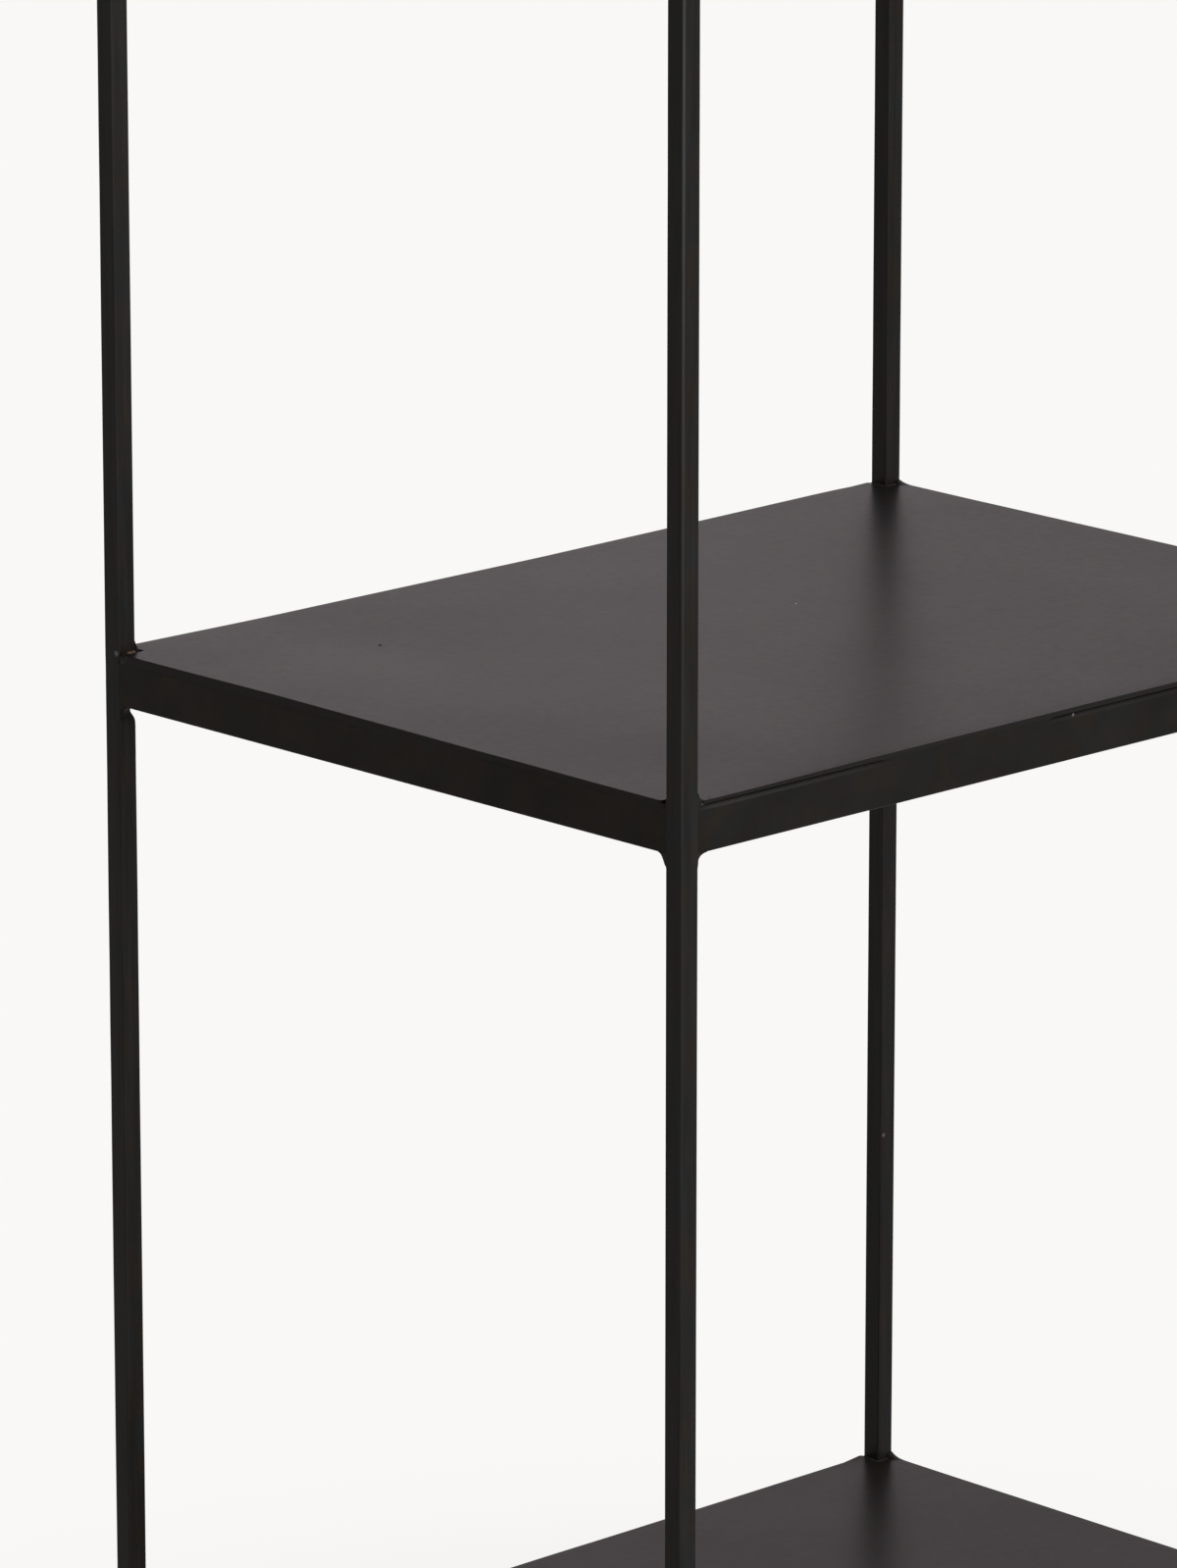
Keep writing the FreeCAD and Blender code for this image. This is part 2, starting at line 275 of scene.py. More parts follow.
def post_heights():
    """Where the post's mesh has rings: sparse between the shelves, close at the joints."""
    low, high = POST_LOW.z, POST_HIGH.z
    heights = {low, low + POST_CHAMFER, high - POST_CHAMFER, high}
    runs = [(low + FREE_STEP, high - FREE_STEP / 2, FREE_STEP)]
    for n in SHELVES:
        end = min(SHEET_TOP[n] + JOINT_ABOVE, high - POST_CHAMFER)
        runs.append((RAIL_BOTTOM[n] - JOINT_BELOW, end, JOINT_STEP))
    for z, end, step in runs:
        while z < end:
            heights.add(z)
            z += step
    ordered = sorted(heights)
    kept = [ordered[0]]
    for z in ordered[1:]:
        if z - kept[-1] > JOINT_STEP / 4 or z in (high, high - POST_CHAMFER):
            kept.append(z)
    return kept


def filled_share(z):
    """1 where a rail's ground weld fills the post's edge, 0 on the free bar."""
    share = 0.0
    for n in SHELVES:
        start = RAIL_BOTTOM[n] - WELD_REACH
        below = smooth(start - WELD_FADE, start + WELD_FADE, z)
        above = 1 - smooth(SHEET_TOP[n] - SHEET_FADE, SHEET_TOP[n] + SHEET_FADE, z)
        share = max(share, below * above)
    return share


def nick_depth(corner, u, v, z):
    """How far a post's nick takes this point in."""
    if corner not in NICKS:
        return 0.0
    at_u, at_v, column, row, deep, half_height, width = NICKS[corner]
    height = seen_on(column, row, 1, at_corner(corner, at_u, at_v, 0).y).z
    return deep * bell(z, height, half_height) * bell(math.hypot(u - at_u, v - at_v), 0, width)


def post_wear_and_highlight(corner, z):
    """How much edge scuffing and painted highlight each point round a post's section gets: partly
    scuffing where hands reach the bar's outer edge, partly a painted highlight that grows towards the
    top.
    """
    height_share = POST_WEAR_AND_HIGHLIGHT[corner] * (WEAR_AND_HIGHLIGHT_LOW + (1 - WEAR_AND_HIGHLIGHT_LOW) * smooth(WEAR_AND_HIGHLIGHT_FROM, WEAR_AND_HIGHLIGHT_TO, z))
    wear_and_highlight = [
        height_share * share * math.sin(math.pi * step / ROUND_STEPS)
        for share in EDGE_WEAR_AND_HIGHLIGHT for step in range(ROUND_STEPS + 1)
    ]
    # Painted light: the left post's front face is lightened above the photo's shelf
    if corner == "back_left":
        top, rounding = SHEET_TOP[PHOTO_SHELF], ROUND_STEPS + 1
        for face_end in (3 * rounding - 1, 3 * rounding):
            wear_and_highlight[face_end] += FACE_PAINTED_LIGHT * smooth(top, top + JOINT_ABOVE, z)
    return wear_and_highlight


def post_ring(corner, z, seed):
    """One ring of a post's mesh."""
    filled = filled_share(z)
    edge_factor = 1 + sum(share * wander(z * rate, seed + more) for share, rate, more in ROUND_WAVES)
    free = POST_ROUND * edge_factor
    rail_side = free + (FILLED_ROUND - free) * filled
    end = max(0.0, POST_LOW.z + POST_CHAMFER - z, z - POST_HIGH.z + POST_CHAMFER)
    ground = max(bell(z, (RAIL_BOTTOM[n] + RAIL_TOP[n]) / 2, GRIND_REACH) for n in SHELVES)
    up, rate_u, rate_v = GRIND_WAVES
    ring, middle = [], POST_SIDE / 2
    for u, v in rounded_square((free * OUTER_ROUND, rail_side, free, rail_side)):
        dish = GRIND_DEPTH * ground * max(0, wander(z * up, u * rate_u + v * rate_v, seed))
        push = (end + nick_depth(corner, u, v, z) + dish) / middle
        ring.append(at_corner(corner, u + (middle - u) * push, v + (middle - v) * push, z))
    return ring


def make_posts(material):
    heights = post_heights()
    first, step = POST_SEEDS
    for index, corner in enumerate(CORNERS):
        bm = bmesh.new()
        # Each ring's shares of edge scuffing and painted highlight
        wear_and_highlight = [share for z in heights for share in post_wear_and_highlight(corner, z)]
        loft(bm, [post_ring(corner, z, first + step * index) for z in heights], wear_and_highlight)
        add_piece("bar_" + corner, bm, material, ["post_" + corner])


# Rails
HEEL_LINE = (0.2 * MM, 0.8 * MM)  # the line below the heel, lightened by scuffing and a painted highlight: full share up to, none from
# Share of the lighter edge colour on the heel: scuffing and a painted highlight
HEEL_WEAR_AND_HIGHLIGHT = 0.30
HEEL_SHARES = [0.6, 1.0, 1.0]  # of it on the heel's last points and the first of that line
HEEL_MIDDLE, HEEL_FADE = 0.35, (20 * MM, 120 * MM)  # share of it far from the posts, and the fade
RAIL_STEP = 8 * MM
RAIL_END = 0.3 * MM  # of a rail's length beside each cut end
RAIL_WAVE = 0.06 * MM  # how far the upright leg's face wanders inward
RAIL_WAVES = 9  # per metre


def rail_section(n):
    """The angle's outline: places inward, heights and shares of scuffing and painted highlight, from the
    heel round.
    """
    gauge, leg, height = RAIL_GAUGE, RAIL_LEVEL_LEG, RAIL_TOP[n] - RAIL_BOTTOM[n]
    half = 2 * QUARTER
    heel = arc((RAIL_HEEL, -RAIL_HEEL), RAIL_HEEL, QUARTER, half)
    line = [(0, -RAIL_HEEL - drop) for drop in HEEL_LINE]
    foot = arc((RAIL_FOOT, RAIL_FOOT - height), RAIL_FOOT, half, half + QUARTER)
    toe = arc((gauge - RAIL_TOE, RAIL_TOE - height), RAIL_TOE, -QUARTER, 0)
    root = arc((gauge + RAIL_ROOT, -gauge - RAIL_ROOT), RAIL_ROOT, half, QUARTER)
    end = arc((leg - RAIL_TOE, RAIL_TOE - gauge), RAIL_TOE, -QUARTER, 0)
    points = heel + line + foot + toe + root + end + [(leg, 0)]
    edge_factor = [0.0] * (len(heel) - 2) + HEEL_SHARES
    return points, edge_factor + [0.0] * (len(points) - len(edge_factor))


def make_rail(rail, n, material):
    """A length of angle, mitred where the level legs meet, with a heel line lightened by scuffing and a
    painted highlight where its seam is open.
    """
    points, shares = rail_section(n)
    reach = rail_reach(rail)
    inner = reach - RAIL_END
    count = int(2 * inner / RAIL_STEP)
    rings, wear_and_highlight = [], []
    for along in [-reach] + [inner * (2 * step / count - 1) for step in range(count + 1)] + [reach]:
        bow = RAIL_WAVE * abs(wander(along * RAIL_WAVES, n * 2.3, len(rail) * 1.7))
        bowed = [(inward + (bow if inward < RAIL_GAUGE / 2 else 0), height) for inward, height in points]
        rings.append([on_rail(rail, along, inward, RAIL_TOP[n] + height) for inward, height in bowed])
        # Heel line lighter with scuffing and a painted highlight, only where the seam is open
        opened = min(1.0, seam_depth(rail, n, along) / SEAM_OPEN)
        fade = 1 - (1 - HEEL_MIDDLE) * smooth(*HEEL_FADE, reach - abs(along))
        wear_and_highlight += [HEEL_WEAR_AND_HIGHLIGHT * opened * fade * share for share in shares]
    bm = bmesh.new()
    loft(bm, rings, wear_and_highlight)
    for way in (-1, 1):
        spot = on_rail(rail, way * reach, POST_SIDE, 0)
        outward = on_rail(rail, way, 1, 0) - on_rail(rail, 0, 0, 0)
        cut = cut_mesh(bm, spot, outward, clear_outer=True)
        bmesh.ops.holes_fill(bm, edges=[e for e in cut["geom_cut"] if isinstance(e, bmesh.types.BMEdge)])
    add_piece("angle_%s_%d" % (rail, n), bm, material, ["rail_%s_%d" % (rail, n)])


# Shelf sheets
SHEET_GRID = 12 * MM
GRID_SHIFT = 0.3 * MM  # keeps the grid off the outline's own points
SHEET_WARP = 0.28 * MM  # how far the thin sheet's top wanders
SHEET_WAVES = ((1.0, 7, 5.3), (0.35, 19, 9.1))  # share of it, waves per metre, seed from n to n
PHOTO_WARP = 0.5  # share of it on the photo's shelf, which has its own waves
TOP_DROP = 0.6  # share of it that the top shelf's sheet is lower, inside the CAD box
EDGE_WARP = 0.10 * MM  # how far the sheet's edges wander inward
EDGE_RATE = 13  # waves per metre
EDGE_BAND = 3 * MM  # over which that fades inward
RIM_BAND = (0.7, 0.1)  # shares of that edge's rounding below the top: all rim up to, none from
EDGE_SEGMENTS = 3

# The edges of the photo's shelf dip and lift a little. Each edge: axis that it faces along, side, how
# far inward that fades, slope and height of its line in the photo, and rises in mm by photo column
FRONT_ROW = (-0.25233, 997.33)
EDGE_RISES = (
    (1, 1, 70 * MM, (-0.21856, 686.43),
     ((136, 0.0), (330, -0.10), (550, -0.55), (700, -0.05), (845, 0.55), (884, 0.2))),
    (0, -1, 110 * MM, (0.27080, 633.48),
     ((130, 0.85), (188, 0.85), (273, 1.1), (383, 0.6), (490, 0.0), (594, -0.2), (660, -0.15))),
    (1, -1, 110 * MM, FRONT_ROW,
     ((715, -0.5), (773, -0.5), (820, -0.3), (867, -0.1), (968, 0.12), (1047, 0.17), (1125, 0.28),
      (1190, 0.2))),
)

CORNER_LIFT = {1: 1.0 * MM, 2: 0.35 * MM, 3: 0.6 * MM}  # shelf: lift of the back edge's right end
LIFT_REACH = 9 * MM

# The photo's sheet bends down to its front edge: heights, and over how much of its depth
FRONT_ROLL = ((0.60 * MM, 60 * MM), (0.14 * MM, 10 * MM))
ROLL_GONE = 230 * MM  # from the front edge, where the rise behind it is gone
ROLL_SIDES = 110 * MM  # and how far it takes to come up from the sheet's sides

# A faint dent near the left of the photo's shelf
DENT = seen_on(380, 662, 2, SHEET_TOP[PHOTO_SHELF])
DENT_DEPTH = 0.25 * MM
DENT_SPREAD = 22 * MM
DENT_STRETCH = 0.6  # what a distance along y counts, which makes it longer that way


def notch_path(corner):
    """The sheet's edge round a post in the corner's u and v, from the x rail's side to the y rail's."""
    cut, turn, root = POST_SIDE + NOTCH_GAP[corner], NOTCH_ROUND, NOTCH_ROOT
    first = arc((cut + turn, turn), turn, -QUARTER, -2 * QUARTER)
    inner = arc((cut - root, cut - root), root, 0, QUARTER)
    last = arc((turn, cut + turn), turn, -QUARTER, -2 * QUARTER)
    return first + inner + last


def sheet_outline():
    """The sheet's outline seen from above, counter-clockwise."""
    outline = []
    for index, corner in enumerate(("front_left", "front_right", "back_right", "back_left")):
        way = 1 if index % 2 else -1
        points = [at_corner(corner, u, v, 0) for u, v in notch_path(corner)[::way]]
        outline += [(p.x, p.y) for p in points]
    return outline


def read_edge(axis, side, fade, row, wave):
    """Places along an edge in the photo and its rises there, after its axis, side and fade."""
    slope, height = row
    table = sorted(
        (seen_on(column, slope * column + height, axis, side * HALVES[axis])[1 - axis], rise * MM)
        for column, rise in wave
    )
    return axis, side, fade, tuple(zip(*table))


EDGES = [read_edge(*edge) for edge in EDGE_RISES]


def corner_lift(n, x, y):
    """How far the heat of welding bent up a sheet's back edge beside its notch for the right post."""
    notch = HALF_WIDTH - POST_SIDE - NOTCH_GAP["back_right"] - NOTCH_ROUND
    share = smooth(notch - LIFT_REACH, notch, x) * smooth(HALF_DEPTH - LIFT_REACH, HALF_DEPTH, y)
    return CORNER_LIFT.get(n, 0.0) * share


def front_roll(x, y):
    """How far the photo's sheet lies above its front edge behind that edge."""
    gone = HALF_DEPTH + y
    rise = sum(height * (1 - max(0.0, 1 - gone / reach) ** 2) for height, reach in FRONT_ROLL)
    rise *= 1 - smooth(FRONT_ROLL[0][1], ROLL_GONE, gone)
    return rise * smooth(0, ROLL_SIDES, HALF_WIDTH - abs(x))


def sheet_rise(n, x, y):
    """How far the top of a sheet lies above its CAD height: never above it on the top shelf."""
    waves = (share * wander(x * rate, y * rate, n * seed) for share, rate, seed in SHEET_WAVES)
    rise = SHEET_WARP * sum(waves)
    if n == PHOTO_SHELF:
        rise *= PHOTO_WARP
        for axis, side, fade, table in EDGES:
            near = smooth(HALVES[axis] - fade, HALVES[axis], side * (x, y)[axis])
            rise += np.interp((y, x)[axis], *table) * near
        rise += front_roll(x, y)
        rise -= DENT_DEPTH * bell(math.hypot(x - DENT.x, (y - DENT.y) * DENT_STRETCH), 0, DENT_SPREAD)
    rise += corner_lift(n, x, y)
    return rise if n != SHELVES[-1] else min(0.0, rise - TOP_DROP * SHEET_WARP)


def sheet_block(top, bottom):
    """A flat sheet with notched corners and rounded edges, cut into a grid."""
    bm = bmesh.new()
    lid = bm.faces.new([bm.verts.new((x, y, top)) for x, y in sheet_outline()])
    grown = bmesh.ops.extrude_face_region(bm, geom=[lid])
    below = [v for v in grown["geom"] if isinstance(v, bmesh.types.BMVert)]
    bmesh.ops.translate(bm, verts=below, vec=(0, 0, bottom - top))
    for level, rounding in ((top, SHEET_EDGE), (bottom, SHEET_UNDER_EDGE)):
        rim = [e for e in bm.edges if all(abs(v.co.z - level) < LEVEL_TOUCH for v in e.verts)]
        bmesh.ops.bevel(
            bm, geom=rim, offset=rounding, segments=EDGE_SEGMENTS, profile=0.5, affect="EDGES"
        )
    for axis, half in enumerate(HALVES):
        count = int(half / SHEET_GRID)
        for step in range(-count, count + 1):
            across = Vector((axis == 0, axis == 1, 0))
            cut_mesh(bm, across * (step * SHEET_GRID + GRID_SHIFT), across)
    return bm


def edge_inset(n, along, across, half, seed):
    """How far a sheet's edge wanders inward at a place that far across from the middle."""
    wave = abs(wander(along * EDGE_RATE, n * 3.7, seed))
    return math.copysign(EDGE_WARP * wave * smooth(half - EDGE_BAND, half, abs(across)), across)


def make_sheet(n, material):
    """A thin sheet that is never quite flat."""
    top, bottom = SHEET_TOP[n], RAIL_TOP[n]
    bm = sheet_block(top, bottom)
    rim_low, rim_high = (top - share * SHEET_EDGE for share in RIM_BAND)
    rim = bm.verts.layers.float.new("rim")
    for vert in bm.verts:
        x, y, z = vert.co
        vert[rim] = 1 - smooth(rim_low, rim_high, z)
        share = smooth(bottom + SHEET_EDGE, top - SHEET_EDGE, z)
        vert.co.z += share * sheet_rise(n, x, y)
        vert.co.x -= edge_inset(n, y, x, HALF_WIDTH, 1)
        vert.co.y -= edge_inset(n, x, y, HALF_DEPTH, 2)
    add_piece("sheet_%d" % n, bm, material, ["shelf_sheet_%d" % n])


# Welds
FILLET_STEPS = 12
WELD_ROOT = 0.5 * MM  # how far a weld's hidden root goes into what it joins
WELD_INSIDE = 0.9 * MM  # how far it wraps past the rail's inner face
BEAD_SIDES = 8
BEAD_STEP = 0.55 * MM
BEAD_RINGS = 6  # at least, along the shortest
BEAD_PITCH = 1.7 * MM
SEEDS = (0, 90)  # from which a weld's own seed is drawn

# The welds that the photo shows: (shelf, corner, axis) -> leg along, leg down, straightness
SHOWN_FILLETS = {
    (2, "front_left", "y"): (4.7, 5.7, 1.0),
    (2, "front_left", "x"): (5.5, 3.4, 0.0),
    (2, "back_left", "y"): (4.5, 4.0, 0.3),
}
USUAL_FILLET = ((4.8, 6.6), (5.0, 7.4), (0, 0.4))  # between which the others' are drawn
# Small welds on top, from sheet to post: leg along, leg up, straightness, place inward, depth
SHOWN_TOPS = {
    ("back_right", "y"): (10.5, 1.6, 0.5, 0.0, 3.0),
    ("back_right", "x"): (2.8, 0.15, 0.5, 0.0, 3.0),
    ("back_left", "x"): (5.4, 6.2, 0.6, 8.3, 1.1),
    ("front_left", "x"): (3.4, 3.2, 0.4, 0.0, 2.4),
    ("back_left", "y"): (3.0, 0.5, 0.3, 0.0, 3.0),
    ("front_right", "y"): (3.2, 1.8, 0.3, 1.0, 3.0),
}
LOW_TOPS = {**SHOWN_TOPS, ("back_right", "y"): (9.0, 2.6, 0.5, 0.0, 3.0)}  # on the lowest shelf
FILLET_RIPPLE = (0.025, 0.35, 600)  # share, and its rates along the fillet and across it
# A bead's shape, in shares of its radius: how blunt its tips are, its size between the ripples, their
# depth, and its wander in size and sideways, with waves per metre
BEAD_TIP = 0.12
BEAD_SIZE = 0.95
BEAD_RIPPLE = 0.09
BEAD_SWELL = (0.10, 400)
BEAD_SWAY = (0.12, 150, 4)


def fillet_curve(leg, drop, straight, share):
    """A point on a concave fillet from the rail (share 0) to the post (share 1), straighter there."""
    straight *= share
    angle = share * QUARTER
    round_a, round_h = leg * (1 - math.sin(angle)), drop * (1 - math.cos(angle))
    line_a, line_h = leg * (1 - share), drop * share
    return round_a + (line_a - round_a) * straight, round_h + (line_h - round_h) * straight


def add_fillet(bm, corner, axis, level, way, leg, drop, straight, depth, root, seed, inset=0.0):
    """A weld in the corner of a rail or sheet and a post. way is -1 below it and 1 above."""
    section = (  # share of the curve's distance from the root, and place across
        (0.97, SUNK),
        (1.0, 0.35 * MM),
        (1.03, depth * 0.35),
        (1.02, depth * 0.7),
        (0.97, depth - 0.2 * MM),
        (0.72, depth + WELD_INSIDE * 0.75),
        (0.3, depth + WELD_INSIDE),
    )
    swing, rate_along, rate_across = FILLET_RIPPLE
    rings = []
    for step in range(FILLET_STEPS + 1):
        along, rise = fillet_curve(leg, drop, straight, step / FILLET_STEPS)
        ring = [beside_post(corner, axis, -WELD_ROOT, inset + SUNK, level - way * root)]
        for share, across in section:
            ripple = 1.0
            if across > SUNK:
                ripple += swing * wander(step * rate_along, across * rate_across, seed)
            height = level + way * rise * share * ripple
            ring.append(beside_post(corner, axis, along * share * ripple, inset + across, height))
        end = inset + depth + WELD_INSIDE
        ring.append(beside_post(corner, axis, -WELD_ROOT, end, level - way * root))
        rings.append(ring)
    loft(bm, rings)


def add_bead(bm, start, end, radius, seed):
    """A run of weld: a tube with the ripples that a slowly moved torch leaves."""
    run = end - start
    length = run.length
    ahead = run.normalized()
    side = ahead.orthogonal().normalized()
    up = ahead.cross(side)
    count = max(BEAD_RINGS, int(length / BEAD_STEP))
    swell, swell_rate = BEAD_SWELL
    sway, sway_rate, sway_seed = BEAD_SWAY
    around = spokes(side, up, BEAD_SIDES)
    rings = []
    for step in range(count + 1):
        gone = length * step / count
        tip = min(1.0, min(gone, length - gone) / radius + BEAD_TIP)
        ripple = BEAD_RIPPLE * abs(math.sin(math.pi * gone / BEAD_PITCH))
        ripple += swell * wander(gone * swell_rate, seed)
        size = radius * math.sqrt(tip * (2 - tip)) * (BEAD_SIZE + ripple)
        aside = sway * radius * wander(gone * sway_rate, seed, sway_seed)
        middle = start + ahead * gone + side * aside
        rings.append([middle + spoke * size for _, spoke in around])
    loft(bm, rings)


# Low welds that fill the sheet's notch on a post's inner faces: (corner, axis) -> from, to in mm
FOOT_BEADS = {
    ("back_right", "x"): (1.0, 11.4), ("back_right", "y"): (1.0, 11.4),
    ("front_left", "x"): (2.6, 9.6), ("front_left", "y"): (3.2, 8.4),
    ("back_left", "y"): (0.3, 4.6),
    ("front_right", "y"): (3.0, 9.6), ("front_right", "x"): (2.0, 8.0),
}
FOOT_SPREAD = 0.3 * MM  # of such a weld over each side of the gap that it fills
FOOT_SIZES = (0.92, 1.08)  # from which its share of that radius is drawn
FOOT_SUNK = {True: 2.2 * MM, False: 0.55 * MM}  # middle below the sheet's top: top shelf, others
# A short run over the back left post's gap, browned by its heat
BROWNED_RUN = (3.6 * MM, 9.0 * MM)
BROWNED_RADIUS = 1.3 * MM
BROWNED_OUT = 1.1 * MM  # its middle from the post's face
BROWNED_LIFT = {True: -2.21 * MM, False: 0.25 * MM}  # above the sheet: top shelf, others
BROWNED_SEED = 5.0
UPRIGHT_OUT, UPRIGHT_IN = 0.5 * MM, 0.4 * MM  # middle of the run in the angle, off post and leg
UPRIGHT_LOW, UPRIGHT_HIGH = 0.5 * MM, 2.5 * MM  # its ends above the rail's bottom, below its top
UPRIGHT_RADII = (1.5, 2.0)  # in mm


def add_foot_beads(bm, n):
    """Welds between the posts' inner faces and the notched sheet."""
    for (corner, axis), (start, end) in FOOT_BEADS.items():
        chance = random.Random("foot %d %s %s" % (n, corner, axis))
        middle, z = NOTCH_GAP[corner] / 2, SHEET_TOP[n] - FOOT_SUNK[n == SHELVES[-1]]
        ends = [beside_post(corner, axis, middle, place * MM, z) for place in (start, end)]
        radius = (middle + FOOT_SPREAD) * chance.uniform(*FOOT_SIZES)
        add_bead(bm, *ends, radius, chance.uniform(*SEEDS))


def add_browned_weld(bm, n):
    z = SHEET_TOP[n] + BROWNED_LIFT[n == SHELVES[-1]]
    ends = [beside_post("back_left", "y", BROWNED_OUT, place, z) for place in BROWNED_RUN]
    add_bead(bm, *ends, BROWNED_RADIUS, BROWNED_SEED + n)


def add_corner_welds(bm, n):
    """The fillets below the rails, small welds on top and the upright runs inside the angle."""
    tops = {SHELVES[0]: LOW_TOPS, SHELVES[-1]: {}}.get(n, SHOWN_TOPS)
    for corner in CORNERS:
        for axis in ("x", "y"):
            chance = random.Random("%d %s %s" % (n, corner, axis))
            seed = chance.uniform(*SEEDS)
            usual = [chance.uniform(*span) for span in USUAL_FILLET]
            leg, drop, straight = SHOWN_FILLETS.get((n, corner, axis), usual)
            add_fillet(bm, corner, axis, RAIL_BOTTOM[n], -1, leg * MM, drop * MM, straight,
                       RAIL_GAUGE, WELD_ROOT, seed)
            ends = [
                beside_post(corner, axis, UPRIGHT_OUT, RAIL_GAUGE + UPRIGHT_IN, z)
                for z in (RAIL_BOTTOM[n] + UPRIGHT_LOW, RAIL_TOP[n] - UPRIGHT_HIGH)
            ]
            add_bead(bm, *ends, chance.uniform(*UPRIGHT_RADII) * MM, seed)
            if (corner, axis) in tops:
                leg, rise, straight, inset, depth = tops[corner, axis]
                add_fillet(bm, corner, axis, SHEET_TOP[n], 1, leg * MM, rise * MM, straight,
                           depth * MM, SHEET_TOP[n] - RAIL_TOP[n], seed + 5, inset * MM)


STITCH_LENGTH = 26 * MM
STITCH_SHARES, STITCH_SHIFTS = (0.85, 1.15), (-6, 6)  # of that length, and in mm along the rail
STITCH_RADIUS = 2.0 * MM
STITCH_OUT = 0.1 * MM  # middle of the run past the level leg's end
STITCH_DOWN = 0.6 * MM  # and below the sheet
STITCHES = {"x": (-165, -55, 55, 165), "y": (-100, 0, 100)}  # in mm along a rail of that axis


def add_stitches(bm, n):
    """Stitch welds under the shelf, where the angle's level leg ends on the sheet."""
    for rail, (axis, _) in RAILS.items():
        for index, place in enumerate(STITCHES[axis]):
            chance = random.Random("stitch %d %s %d" % (n, rail, index))
            middle = (place + chance.uniform(*STITCH_SHIFTS)) * MM
            half = STITCH_LENGTH * chance.uniform(*STITCH_SHARES) / 2
            ends = [
                on_rail(rail, along, RAIL_LEVEL_LEG + STITCH_OUT, RAIL_TOP[n] - STITCH_DOWN)
                for along in (middle - half, middle + half)
            ]
            add_bead(bm, *ends, STITCH_RADIUS, chance.uniform(*SEEDS))


# The seam between rail and sheet
SEAM_LOW = 2.2 * MM  # how far the filled seam reaches below the rail's top
SEAM_HIGH = 0.3 * MM  # and above it
SEAM_HIGH_NOTCH = 1.3 * MM  # where it closes a notch of the sheet
SEAM_HIGH_LEFT = 0.8 * MM  # more of that at the left corner of the photo's shelf
SEAM_OPEN = 1.9 * MM  # depth at which the filler is out of sight
SEAM_STEP = 4 * MM
SEAM_CLOSED = {("left", 1), ("back", -1)}  # rails' ends whose seams are filled flush with the sheet
SEAM_NOTCH = 4.6 * MM  # how far that filling reaches from the post
SEAM_CLOSING = (2 * MM, 10 * MM)  # filled up to, and as elsewhere from this far from the posts
SEAM_NEAR_POST = 0.85  # how nearly flush it is there

# Where the front seam of the photo's shelf was welded and ground: begun, full, ending and gone
GROUND_FRONT = [
    seen_on(column, FRONT_ROW[0] * column + FRONT_ROW[1], 1, -HALF_DEPTH).x
    for column in (868, 925, 1062, 1092)
]
SEAM_WAVES = 22  # per metre, between filled and sunk stretches
SEAM_LEFT = (0.86, 0.3, 0.7)  # how nearly flush the left seam is at least, and where it gets fully so
SEAM_FLUSH = (0.48, 0.72)  # the same for the seams elsewhere
SEAM_DEPTHS = (0.7, 0.6)  # share of the depth where smooth, and more of it where rough
SEAM_TURN = 0.4 * MM  # of a rail's length, from a filled notch to the seam beside it
SEAM_CLEAR = 0.1 * MM  # between those rings and the even ones
SEAM_BACK = 0.25 * MM  # how far the strip's edges turn inward
SEAM_BEVEL = 0.2 * MM  # over this height
SEAM_THICK = 1.0 * MM


def seam_depth(rail, n, along):
    """How deep the filler of the seam lies at a place along a rail: 0 is ground flush."""
    rough = 0.5 + 0.5 * wander(along * SEAM_WAVES, n * 3.3, len(rail) * 2.1)
    if n == PHOTO_SHELF and rail == "front":
        flush = smooth(*GROUND_FRONT[:2], along) * (1 - smooth(*GROUND_FRONT[2:], along))
    elif n == PHOTO_SHELF and rail == "left":
        least, start, full = SEAM_LEFT
        flush = least + (1 - least) * smooth(start, full, rough)
    else:
        flush = smooth(*SEAM_FLUSH, rough)
    near_post = 1 - smooth(*SEAM_CLOSING, rail_reach(rail) - abs(along))
    flush = max(flush, SEAM_NEAR_POST * near_post)
    return SEAM_OPEN * (1 - flush) * (SEAM_DEPTHS[0] + SEAM_DEPTHS[1] * rough)


def add_seams(bm, n):
    """Strips of filler in the seams, flush where a stitch was ground and sunk elsewhere."""
    for rail in RAILS:
        reach = rail_reach(rail)
        count = int(2 * reach / SEAM_STEP)
        ends = [reach, reach - SEAM_NOTCH, reach - SEAM_NOTCH - SEAM_TURN]
        even = (-reach + 2 * reach * step / count for step in range(1, count))
        inner = [along for along in even if abs(along) < ends[2] - SEAM_CLEAR]
        rings = []
        for along in [-end for end in ends] + inner + ends[::-1]:
            in_notch = (rail, math.copysign(1, along)) in SEAM_CLOSED and abs(along) > ends[2]
            depth = SUNK + min(seam_depth(rail, n, along), SEAM_OPEN)
            above = SEAM_HIGH_NOTCH if in_notch else SEAM_HIGH
            if in_notch and rail == "left" and n == PHOTO_SHELF:
                above += SEAM_HIGH_LEFT
            low, high = RAIL_TOP[n] - SEAM_LOW, RAIL_TOP[n] + above
            section = (
                (depth + SEAM_BACK, low - SEAM_BEVEL), (depth, low), (depth, high),
                (depth + SEAM_BACK, high + SEAM_BEVEL), (SEAM_OPEN + SEAM_THICK, (low + high) / 2),
            )
            rings.append([on_rail(rail, along, inward, z) for inward, z in section])
        loft(bm, rings)


